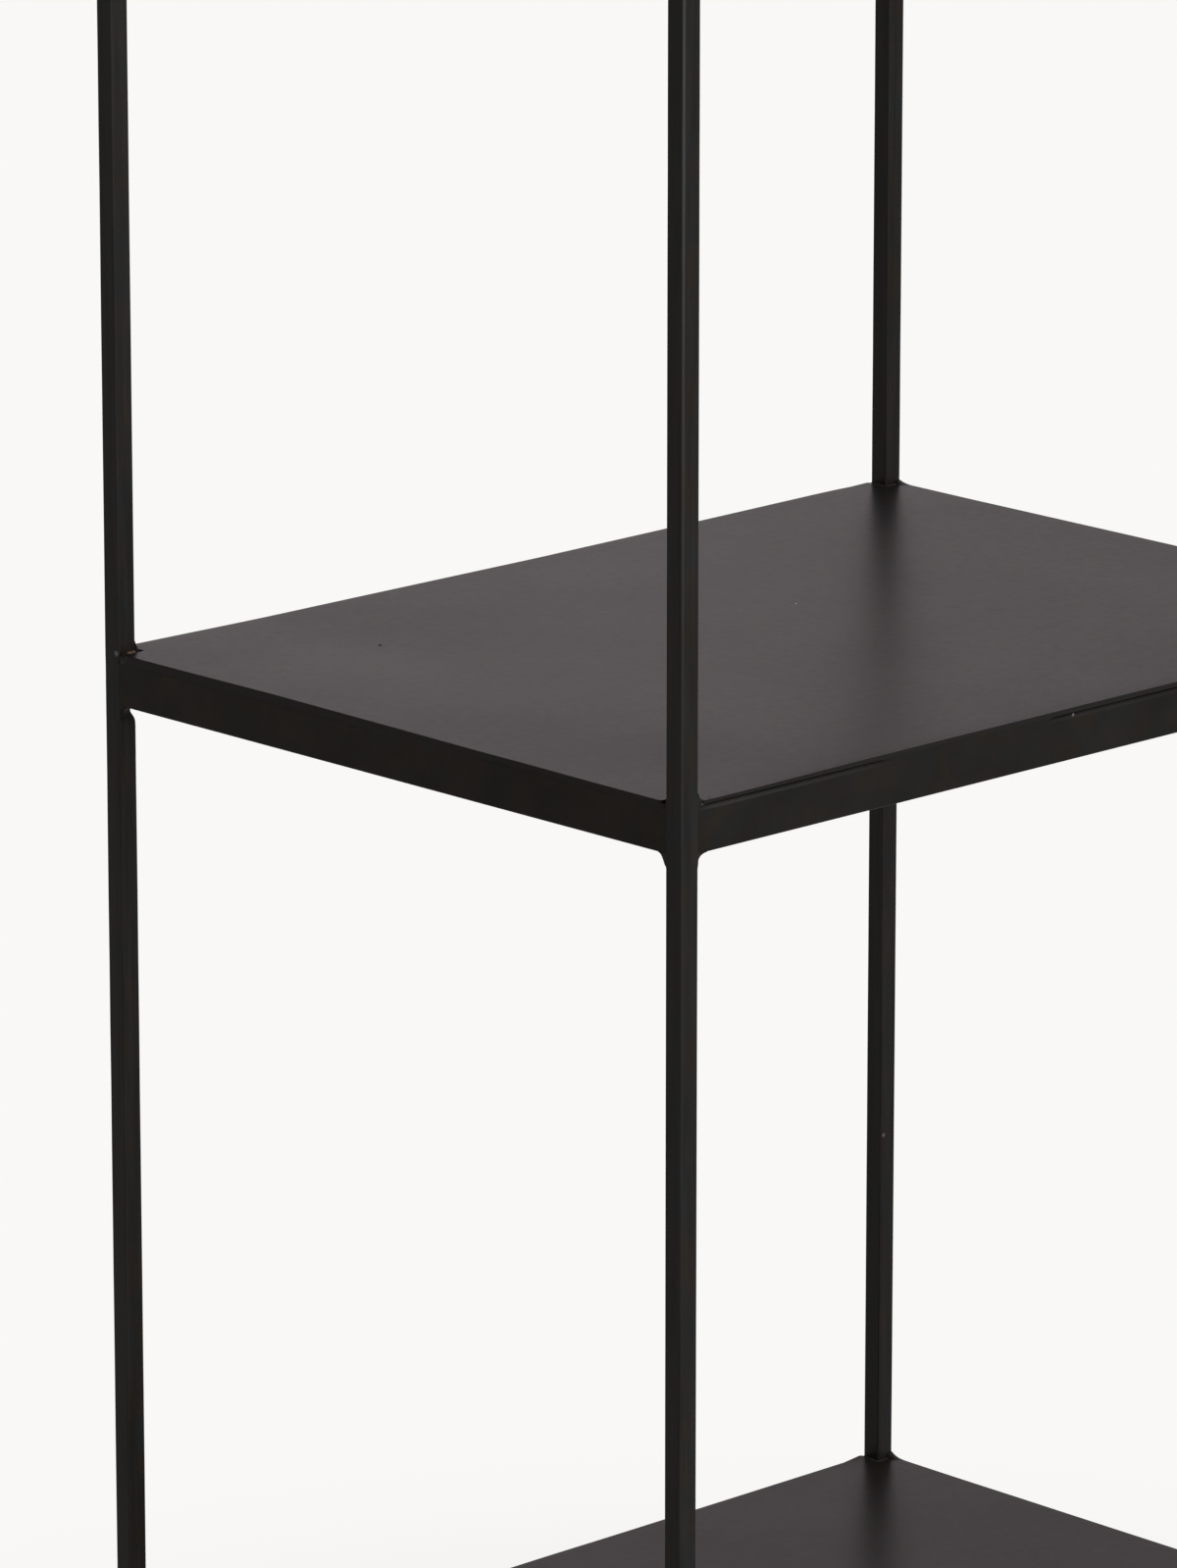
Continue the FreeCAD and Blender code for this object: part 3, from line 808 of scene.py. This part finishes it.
# Specks
NIB_SIDES = 7
NIB_RINGS = ((1.0, -0.3), (0.92, 0.25), (0.62, 0.8), (0.18, 1.0))  # share of radius, of height
NIB_UNEVEN = 0.25
SPECK_CLEAR = 0.01 * MM  # of a grain off the rail's own face
SPATTER_COUNT = 5
SPATTER_CLEAR = 1 * MM  # of the notch
SPATTER_SPREAD = 9.0  # mean distance from there, in mm
SPATTER_BAND = (2, 10)  # in mm from one of the sheet's edges
SPATTER_SUNK = {True: 0.35 * MM, False: 0.15 * MM}  # top shelf, others
SPATTER_SIZES = (0.18, 0.4)  # in mm
SPATTER_STEEPNESS = 0.5


def add_nib(bm, spot, normal, radius, height, seed):
    """A low rounded grain on a surface."""
    side = normal.orthogonal().normalized()
    other = normal.cross(side)
    around = [
        spoke * radius * (1 + NIB_UNEVEN * wander(angle, seed))
        for angle, spoke in spokes(side, other, NIB_SIDES)
    ]
    loft(bm, [
        [spot + normal * (lift * height) + out * share for out in around] for share, lift in NIB_RINGS
    ])


# The photo's specks, by piece: material, slot and steepness, and for each grain its photo column and
# row, what carries it and its radius
SPECKS = {
    "dust_specks": ("dust_pale", "sheet_coat", 0.45, ((811, 615, "sheet", 0.6 * MM),)),
    "dim_specks": ("dust_dim", "bar_coat", 0.15, (
        (1093.6, 728.6, "front_rail", 0.95 * MM), (900.4, 1157, "back_post", 1.15 * MM),
    )),
    "dark_specks": ("speck_dark", "sheet_coat", 0.25, ((387, 657, "sheet", 1.0 * MM),)),
    "brown_specks": ("weld_coat_brown", "weld_coat", 0.45, ((715.0, 819.6, "front_rail", 0.55 * MM),)),
}


def speck_place(column, row, carrier, height):
    """The point that a pixel shows on what carries the speck, and the way out of it."""
    if carrier == "sheet":
        spot = seen_on(column, row, 2, SHEET_TOP[PHOTO_SHELF])
        rise = sheet_rise(PHOTO_SHELF, spot.x, spot.y)
        return spot + Vector((0, 0, rise - SUNK)), Vector((0, 0, 1))
    if carrier == "front_rail":
        return seen_on(column, row, 1, -HALF_DEPTH + SPECK_CLEAR + height), Vector((0, -1, 0))
    return seen_on(column, row, 1, HALF_DEPTH - POST_SIDE), Vector((0, -1, 0))  # back post


def make_specks(name, material, slot, steepness, specks):
    bm = bmesh.new()
    for index, (column, row, carrier, radius) in enumerate(specks):
        height = radius * steepness
        spot, normal = speck_place(column, row, carrier, height)
        add_nib(bm, spot, normal, radius, height, index * 3.7)
    add_piece(name, bm, material)


def add_spatter(bm, n):
    """Grains of weld spatter under the coat, on the sheet near the posts and inside the angles."""
    chance = random.Random("spatter %d" % n)
    for corner in CORNERS:
        for _ in range(SPATTER_COUNT):
            clear = POST_SIDE + NOTCH_GAP[corner] + SPATTER_CLEAR
            place = [clear + chance.expovariate(1 / SPATTER_SPREAD) * MM for _ in range(2)]
            near_edge = chance.random() >= 0.5
            place[near_edge] = chance.uniform(*SPATTER_BAND) * MM
            spot = at_corner(corner, *place, SHEET_TOP[n] - SPATTER_SUNK[n == SHELVES[-1]])
            radius = chance.uniform(*SPATTER_SIZES) * MM
            add_nib(bm, spot, Vector((0, 0, 1)), radius, radius * SPATTER_STEEPNESS, chance.random() * 9)


# Node helpers, each of which adds to a material's or the world's node tree
def opaque(colour):
    return (*colour, 1)


def set_inputs(tree, node, inputs):
    """Sets a node's inputs, by name or number: each a value, or a socket to link."""
    for key, value in inputs.items():
        if isinstance(value, bpy.types.NodeSocket):
            tree.links.new(value, node.inputs[key])
        else:
            node.inputs[key].default_value = value


def add_node(tree, kind, inputs=None):
    node = tree.nodes.new("ShaderNode" + kind)
    set_inputs(tree, node, inputs or {})
    return node


def emptied(owner):
    """The node tree of a material or world, without the nodes that come with it."""
    owner.use_nodes = True
    owner.node_tree.nodes.clear()
    return owner.node_tree


def place_node(tree, stretch=(1, 1, 1), turn=0.0):
    """Coordinates in the shelf's own metres, so that a pattern runs on across the pieces."""
    where = add_node(tree, "TexCoord").outputs["Object"]
    inputs = {"Vector": where, "Scale": stretch, "Rotation": (0, 0, turn)}
    return add_node(tree, "Mapping", inputs).outputs["Vector"]


def distance_node(tree, spot=(0, 0, 0)):
    """How far a point is from a spot, in the shelf's own metres."""
    node = add_node(tree, "VectorMath", {0: place_node(tree), 1: spot})
    node.operation = "DISTANCE"
    return node.outputs["Value"]


def attribute_node(tree, name):
    """The number that a piece's vertices carry under that name."""
    node = add_node(tree, "Attribute")
    node.attribute_name = name
    return node.outputs["Fac"]


def noise_node(tree, where, scale, detail=4.0, rough=0.55):
    inputs = {"Vector": where, "Scale": scale, "Detail": detail, "Roughness": rough}
    return add_node(tree, "TexNoise", inputs).outputs["Fac"]


def range_node(tree, value, low, high, out_low, out_high):
    inputs = {"Value": value, "From Min": low, "From Max": high, "To Min": out_low, "To Max": out_high}
    return add_node(tree, "MapRange", inputs).outputs["Result"]


def spread_noise(tree, noise_value, out_low, out_high):
    """Stretches a noise's middle values over a range."""
    return range_node(tree, noise_value, *NOISE_MIDDLE, out_low, out_high)


def math_node(tree, operation, one, two, clamp=False):
    node = add_node(tree, "Math", {0: one, 1: two})
    node.operation, node.use_clamp = operation, clamp
    return node.outputs[0]


def ramp_node(tree, value, stops):
    """A colour ramp: stops are (position, colour)."""
    node = add_node(tree, "ValToRGB", {"Fac": value})
    for element, (position, colour) in zip(node.color_ramp.elements, stops):
        element.position = position
        element.color = opaque(colour)
    return node.outputs["Color"]


def mix_colours(tree, share, one, two, blend="MIX"):
    node = add_node(tree, "Mix")
    node.data_type, node.blend_type = "RGBA", blend
    set_inputs(tree, node, {0: share, 6: one, 7: two})
    return node.outputs[2]


def mix_shaders(tree, share, one, two):
    return add_node(tree, "MixShader", {0: share, 1: one, 2: two}).outputs[0]


def bump_node(tree, value, strength, distance, under=None):
    inputs = {"Height": value, "Strength": strength, "Distance": distance}
    if under is not None:
        inputs["Normal"] = under
    return add_node(tree, "Bump", inputs).outputs["Normal"]


# Coats
COAT_IOR = 1.16
SHEET_METAL = 0.10  # share of metal pigment in the sheets' coat
SHEET_GRAZING_TINT = (1.0, 0.68, 0.84)  # what that pigment turns to at a flat angle
BLACKS = ((0.0052, 0.0044, 0.0034), (0.0098, 0.0091, 0.0079))
SHEET_COLOURS = ((0.0080, 0.0078, 0.0074), (0.0117, 0.0113, 0.0109))
# Lighter edge colour: scuffing and a painted highlight
EDGE_WEAR_AND_HIGHLIGHT_COLOUR = (0.046, 0.045, 0.043)
LIGHT_SPOT_COLOUR = (0.095, 0.100, 0.108)
LIGHT_SPOT = (118, 666, 0.4 * MM, 1.7 * MM)  # a lighter bluish spot: photo column and row, full within, none from
SHEET_RIM = (0.0082, 0.0086, 0.0072)
# Roughness at the shelf's left corner, at its glossiest place and at its right corner
SHEET_ROUGHNESS = (0.332, 0.324, 0.370)
SHEET_GLOSSIEST = -90 * MM  # that place, across the photo's view from the shelf's middle
SHEEN_NOISES = ((9.0, 4.0, 0.6, 0.012), (190.0, 5.0, 0.7, 0.020))  # scale, detail, roughness, swing
NOISE_MIDDLE = (0.3, 0.7)  # between which a noise has nearly all of its values
WEAR_AND_HIGHLIGHT_NOISE = (260.0, (1, 1, 0.12), (0.65, 1.0))  # scale, stretch, share of the scuffing and painted highlight left
# Warm and cool patches in every coat: scale, detail, and the ramp's stops
TINT_NOISE = (70.0, 5.0)
TINTS = ((0.38, (1.20, 1.0, 0.82)), (0.62, (0.86, 1.0, 1.14)))
MOTTLE_STOPS = (0.32, 0.68)
GRAIN_SCALE, GRAIN_STRENGTH = 1300.0, 0.12
SWELL_SCALE, SWELL_STRENGTH = 60.0, 0.3


def new_material(name):
    """A material and its empty node tree."""
    material = bpy.data.materials.new(name)
    return material, emptied(material)


def show(tree, kind, shader):
    """Links a shader node's first output to a new output node of that kind."""
    add_node(tree, kind, {"Surface": shader})


def paint_edge_wear_and_highlight(tree, colour):
    """The lighter edge colour of scuffing and a painted highlight, where the vertices' shares and a noise
    let it through.
    """
    scale, stretch, left = WEAR_AND_HIGHLIGHT_NOISE
    noise_share = spread_noise(tree, noise_node(tree, place_node(tree, stretch), scale), *left)
    share = math_node(tree, "MULTIPLY", attribute_node(tree, "edge_wear_and_highlight"), noise_share, clamp=True)
    return {"Base Color": mix_colours(tree, share, colour, opaque(EDGE_WEAR_AND_HIGHLIGHT_COLOUR))}


def paint_bar_wear_and_highlight(tree, colour):
    """Edges lighter with scuffing and a painted highlight, and a lighter bluish spot on the left bar at
    the photo's shelf.
    """
    column, row, near, far = LIGHT_SPOT
    away = distance_node(tree, seen_on(column, row, 0, -HALF_WIDTH))
    share = range_node(tree, away, near, far, 1.0, 0.0)
    return paint_edge_wear_and_highlight(tree, mix_colours(tree, share, colour, opaque(LIGHT_SPOT_COLOUR)))


def uneven_sheen(tree):
    """Roughness that is least left of the sheets' middle, with clouds and grain in it."""
    left, glossiest, right = SHEET_ROUGHNESS
    turned = place_node(tree, turn=QUARTER - CAMERA_HEADING)
    across = add_node(tree, "SeparateXYZ", {0: turned}).outputs["X"]
    total = range_node(tree, across, -HALF_WIDTH, SHEET_GLOSSIEST, left, glossiest)
    parts = [range_node(tree, across, SHEET_GLOSSIEST, HALF_WIDTH, 0.0, right - glossiest)]
    for *look, swing in SHEEN_NOISES:
        parts.append(spread_noise(tree, noise_node(tree, place_node(tree), *look), -swing, swing))
    for part in parts:
        total = math_node(tree, "ADD", total, part)
    return total


def dress_sheet(tree, colour):
    """A sheet's own looks: edges of the frame's neutral black, metal pigment and an uneven sheen."""
    return {
        "Base Color": mix_colours(tree, attribute_node(tree, "rim"), colour, opaque(SHEET_RIM)),
        "Metallic": SHEET_METAL,
        "Specular Tint": opaque(SHEET_GRAZING_TINT),
        "Roughness": uneven_sheen(tree),
    }


def coat_material(name, colours, stretch, mottle, roughness, ior, peel, wave, dress):
    """Thin black coat on steel: mottled colour, uneven sheen and a faint orange peel."""
    material, tree = new_material(name)
    plain, streaked = place_node(tree), place_node(tree, stretch)
    cloud = noise_node(tree, streaked, mottle, 5.0, 0.6)
    colour = ramp_node(tree, cloud, zip(MOTTLE_STOPS, colours))
    tint = ramp_node(tree, noise_node(tree, plain, *TINT_NOISE), TINTS)
    colour = mix_colours(tree, 1.0, colour, tint, "MULTIPLY")
    grain = noise_node(tree, plain, GRAIN_SCALE, 2.0)
    swell = noise_node(tree, streaked, SWELL_SCALE, 2.0)
    fine = bump_node(tree, grain, GRAIN_STRENGTH, peel)
    looks = {"IOR": ior, "Normal": bump_node(tree, swell, SWELL_STRENGTH, wave, fine)}
    if roughness:
        looks["Roughness"] = spread_noise(tree, cloud, *roughness)
    looks.update(dress(tree, colour) if dress else {"Base Color": colour})
    show(tree, "OutputMaterial", add_node(tree, "BsdfPrincipled", looks).outputs[0])
    return material


def grained_material(name, colours, ior, stops, pattern, roughness, grain, bump):
    """Colour and roughness that go by one noise, and a bump that goes by another."""
    material, tree = new_material(name)
    where = place_node(tree)
    cloud = noise_node(tree, where, *pattern)
    looks = {
        "Base Color": ramp_node(tree, cloud, zip(stops, colours)),
        "Roughness": spread_noise(tree, cloud, *roughness),
        "Normal": bump_node(tree, noise_node(tree, where, *grain), *bump),
        "IOR": ior,
    }
    show(tree, "OutputMaterial", add_node(tree, "BsdfPrincipled", looks).outputs[0])
    return material


# Each coat: darkest and lightest colour, stretch and scale of its mottling, roughness, IOR, height of
# the orange peel and of the swell under it, and what dresses it further
EVEN = (1, 1, 1)
DRAWN = (1, 1, 0.05)  # along a drawn bar
RAILS_LOOK = (EVEN, 26.0, (0.45, 0.37), 1.15, 0.03 * MM, 0.12 * MM, paint_edge_wear_and_highlight)
HEATED_LOOK = (EVEN, 420.0, (0.55, 0.42), COAT_IOR, 0.05 * MM, 0.12 * MM, None)
COATS = {
    "bar_coat_black": (BLACKS, DRAWN, 320.0, (0.44, 0.36), COAT_IOR, 0.03 * MM, 0.1 * MM, paint_bar_wear_and_highlight),
    "rail_coat_black": (((0.0034, 0.0030, 0.0023), (0.0074, 0.0065, 0.0052)), *RAILS_LOOK),
    "rail_coat_brown": (((0.0036, 0.0022, 0.0008), (0.0078, 0.0052, 0.0026)), *RAILS_LOOK),
    "weld_coat_black": (BLACKS, EVEN, 140.0, (0.48, 0.38), COAT_IOR, 0.05 * MM, 0.12 * MM, None),
    "weld_coat_brown": (((0.036, 0.025, 0.020), (0.095, 0.065, 0.054)), *HEATED_LOOK),
    "weld_coat_foot": (((0.0080, 0.0062, 0.0050), (0.0200, 0.0155, 0.0128)), *HEATED_LOOK),
    "sheet_coat_black": (SHEET_COLOURS, EVEN, 15.0, None, 1.135, 0.01 * MM, 0.01 * MM, dress_sheet),
}
# The rest: colours, IOR, the colours' stops, noise and roughness, and the bump's noise and size
NYLON = ((0.42, 0.74), (420.0, 6.0, 0.7), (0.42, 0.62), (2600.0, 2.0), (0.2, 0.06 * MM))
GRAIN = ((0.35, 0.65), (2400.0, 3.0), (0.6, 0.8), (2400.0, 3.0), (0.4, 0.08 * MM))
GRAINED = {
    "black_nylon": (((0.008, 0.008, 0.009), (0.030, 0.029, 0.028)), 1.5, *NYLON),
    "dust_pale": (((0.30, 0.29, 0.27), (0.45, 0.44, 0.42)), 1.5, *GRAIN),
    "dust_dim": (((0.045, 0.045, 0.042), (0.078, 0.076, 0.070)), COAT_IOR, *GRAIN),
    "speck_dark": (((0.004, 0.004, 0.004), (0.010, 0.009, 0.008)), 1.04, *GRAIN),
}


# Floor, light, world
BACKGROUND = (0.947, 0.939, 0.922)  # the photo's pale ground, in linear light
WORLD_FILL = 0.31  # what the world gives to surfaces that scatter light
FLOOR_COLOUR = (0.82, 0.82, 0.805)
FLOOR_HALF = 80.0
FLOOR_WHITE = (0.84, 1.0)  # share of its own white below the shelf and away from it
FLOOR_FADE = (0.22, 0.62)  # from there, up to there

# Each lamp: place, size, brightness as seen, colour
SOFTBOXES = {
    "top_softbox": ((0.3, -0.3, 3.9), (2.4, 2.4), 1.35, (1, 1, 1)),
    "front_softbox": ((-0.2, -4.6, 1.6), (2.9, 2.6), 11.0, (0.98, 1.0, 1.07)),
    "camera_softbox": ((-2.2, -2.3, 1.2), (0.9, 0.9), 2.6, (1, 1, 1)),
}
LAMPS_AIM = Vector((0, 0, 0.8))


def backdrop_ray(tree):
    """1 for rays that should see the plain pale ground: camera, glossy and transmission rays."""
    path = add_node(tree, "LightPath").outputs
    either = math_node(tree, "ADD", path["Is Camera Ray"], path["Is Glossy Ray"])
    return math_node(tree, "ADD", either, path["Is Transmission Ray"], clamp=True)


def make_world():
    world = bpy.data.worlds.new("studio")
    bpy.context.scene.world = world
    tree = emptied(world)
    fill = add_node(tree, "Background", {"Color": (1, 1, 1, 1), "Strength": WORLD_FILL}).outputs[0]
    shown = add_node(tree, "Background", {"Color": opaque(BACKGROUND)}).outputs[0]
    show(tree, "OutputWorld", mix_shaders(tree, backdrop_ray(tree), fill, shown))


def floor_material():
    """Pale floor: its own white mixed into what it scatters, so that it keeps a soft shadow."""
    material, tree = new_material("floor")
    lit = add_node(tree, "BsdfDiffuse", {"Color": opaque(FLOOR_COLOUR)}).outputs[0]
    white = add_node(tree, "Emission", {"Color": opaque(BACKGROUND)}).outputs[0]
    fade = range_node(tree, distance_node(tree), *FLOOR_FADE, *FLOOR_WHITE)
    share = math_node(tree, "MULTIPLY", fade, backdrop_ray(tree))
    from_below = add_node(tree, "NewGeometry").outputs["Backfacing"]
    clear = add_node(tree, "BsdfTransparent").outputs[0]
    shown = mix_shaders(tree, share, lit, white)
    show(tree, "OutputMaterial", mix_shaders(tree, from_below, shown, clear))
    return material


def make_floor():
    mesh = bpy.data.meshes.new("floor")
    corners = [(x * FLOOR_HALF, y * FLOOR_HALF, 0) for x, y in CORNERS.values()]
    mesh.from_pydata(corners, [], [(0, 1, 3, 2)])
    mesh.materials.append(floor_material())
    floor = place_object("floor", mesh)


def add_softbox(name, place, size, radiance, colour):
    """A soft lamp of that many metres, aimed at the shelf."""
    data = bpy.data.lights.new(name, "AREA")
    data.shape = "RECTANGLE"
    data.size, data.size_y = size
    data.energy = radiance * math.pi * size[0] * size[1]
    data.color = colour
    lamp = place_object(name, data)
    lamp.location = place
    lamp.rotation_euler = (LAMPS_AIM - Vector(place)).to_track_quat("-Z", "Y").to_euler()
    lamp.visible_camera = False


# The shelf, dressed
# Each shelf's smaller pieces: what adds their shapes, their coat and the CAD nodes they replace
SHELF_PIECES = {
    "joint_welds": (add_corner_welds, "weld_coat_black", "corner_welds"),
    "foot_welds": (add_foot_beads, "weld_coat_foot"),
    "browned_weld": (add_browned_weld, "weld_coat_brown"),
    "stitch_welds": (add_stitches, "weld_coat_black"),
    "seam_filler": (add_seams, "rail_coat_black"),
    "weld_spatter": (add_spatter, "sheet_coat_black"),
}
bpy.context.scene.view_settings.view_transform = "Standard"
coats = {name: coat_material(name, *look) for name, look in COATS.items()}
coats.update({name: grained_material(name, *look) for name, look in GRAINED.items()})
for node_name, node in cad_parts.items():
    if node_name.startswith("foot_glide_"):
        node.material_slots[0].material = coats["black_nylon"]

make_camera()
make_world()
make_floor()
for lamp_name, lamp_look in SOFTBOXES.items():
    add_softbox(lamp_name, *lamp_look)
make_posts(coats["bar_coat_black"])
for shelf in SHELVES:
    for side in RAILS:
        make_rail(side, shelf, coats["rail_coat_brown" if side == "left" else "rail_coat_black"])
    make_sheet(shelf, coats["sheet_coat_black"])
    for piece_name, (add_shapes, coat, *replaced) in SHELF_PIECES.items():
        bm = bmesh.new()
        add_shapes(bm, shelf)
        stands_for = ["%s_%d" % (node_name, shelf) for node_name in replaced]
        add_piece("%s_%d" % (piece_name, shelf), bm, coats[coat], stands_for)
for piece_name, (coat, *speck) in SPECKS.items():
    make_specks(piece_name, coats[coat], *speck)
